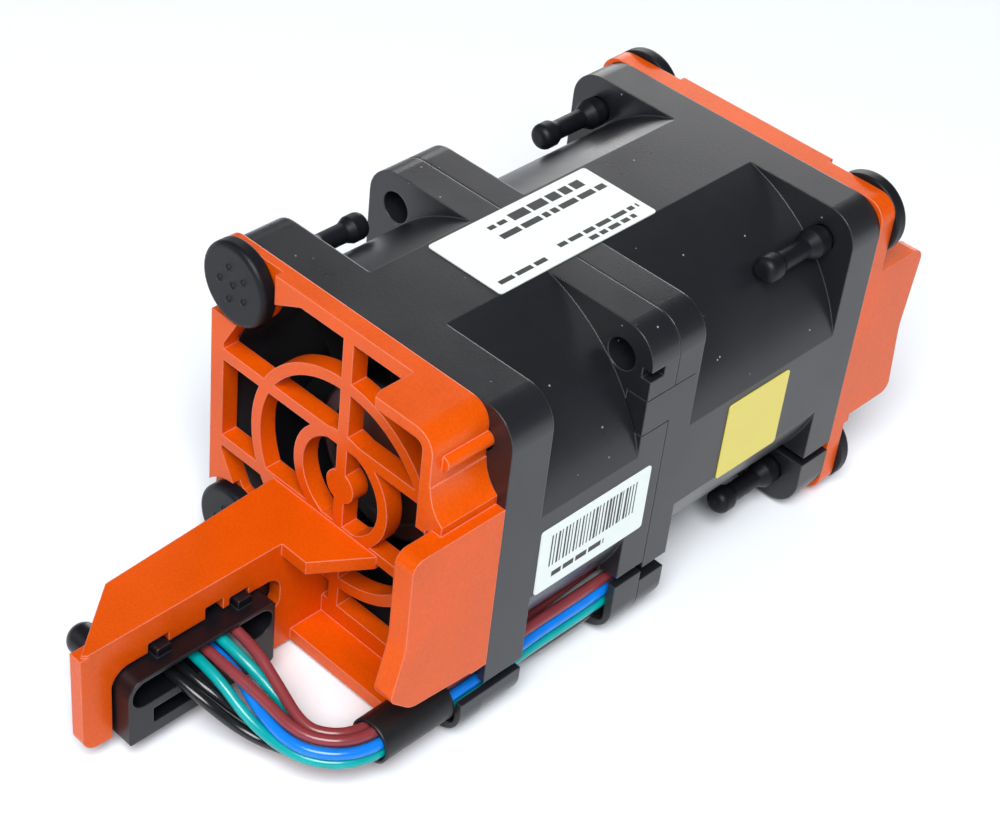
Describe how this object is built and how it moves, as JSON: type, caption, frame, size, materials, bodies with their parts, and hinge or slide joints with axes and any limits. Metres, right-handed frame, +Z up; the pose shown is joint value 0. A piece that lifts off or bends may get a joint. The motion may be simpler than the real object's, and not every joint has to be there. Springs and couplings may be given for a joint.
{
  "type": "server fan module",
  "caption": "Hot-swap module of counter-rotating axial fans in line, with finger guards, latch arm, rubber isolators, blind-mate connector and wire lead.",
  "frame": {"origin": "middle of the module's length on the fan axis' vertical plane, at the height of the isolators' lowest rims", "axes": "+Y along the fan axis in the direction of the air flow, from the guard with the arm to the rear guard; +Z up; +X to the side with the grips and the lead"},
  "size_m": [0.0414, 0.0995, 0.0414],
  "materials": {
    "black_frame": "fine moulded black thermoplastic",
    "orange_guard": "satin moulded orange thermoplastic",
    "black_rubber": "soft matt",
    "impeller_plastic": "fine moulded",
    "connector_plastic": "fine moulded",
    "steel": "bright",
    "magnet": "bonded ferrite, matt",
    "bearing_brass": "turned",
    "core_steel": "stacked laminations",
    "coil_enamel": "enamelled winding wire",
    "board": "solder mask",
    "contact_metal": "gold plated",
    "sleeve": "heat-shrink tube",
    "wire_black": "insulation",
    "wire_teal": "insulation",
    "wire_red": "insulation",
    "wire_blue": "insulation",
    "wire_grey": "insulation",
    "white_label": "printed film, left blank",
    "yellow_label": "printed film, left blank"
  },
  "bodies": {
    "module": {"code_label": "white_label", "connector_contacts": "contact_metal", "connector_housing": "connector_plastic", "front_bearing_tube": "bearing_brass", "front_bearings": "steel", "front_circuit_board": "board", "front_fan_frame": "black_frame", "front_guard": "orange_guard", "front_isolators": "black_rubber", "front_stator_coils": "coil_enamel", "front_stator_core": "core_steel", "notice_label": "yellow_label", "rating_label": "white_label", "rear_bearing_tube": "bearing_brass", "rear_bearings": "steel", "rear_circuit_board": "board", "rear_fan_frame": "black_frame", "rear_guard": "orange_guard", "rear_isolators": "black_rubber", "rear_stator_coils": "coil_enamel", "rear_stator_core": "core_steel", "wire_black_a": "wire_black", "wire_black_b": "wire_black", "wire_blue": "wire_blue", "wire_grey": "wire_grey", "wire_red_a": "wire_red", "wire_red_b": "wire_red", "wire_sleeve": "sleeve", "wire_teal_a": "wire_teal", "wire_teal_b": "wire_teal"},
    "front_rotor": {"front_impeller": "impeller_plastic", "front_rotor_yoke": "steel", "front_rotor_magnet": "magnet", "front_rotor_shaft": "steel", "front_shaft_clip": "steel"},
    "rear_rotor": {"rear_impeller": "impeller_plastic", "rear_rotor_yoke": "steel", "rear_rotor_magnet": "magnet", "rear_rotor_shaft": "steel", "rear_shaft_clip": "steel"}
  },
  "joints": [
    {"name": "front_rotor_spin", "type": "hinge", "parent": "module", "child": "front_rotor", "pos_m": [0, -0.0046, 0.0207], "axis": [0, 1, 0], "continuous": true},
    {"name": "rear_rotor_spin", "type": "hinge", "parent": "module", "child": "rear_rotor", "pos_m": [0, 0.023, 0.0207], "axis": [0, 1, 0], "continuous": true}
  ]
}
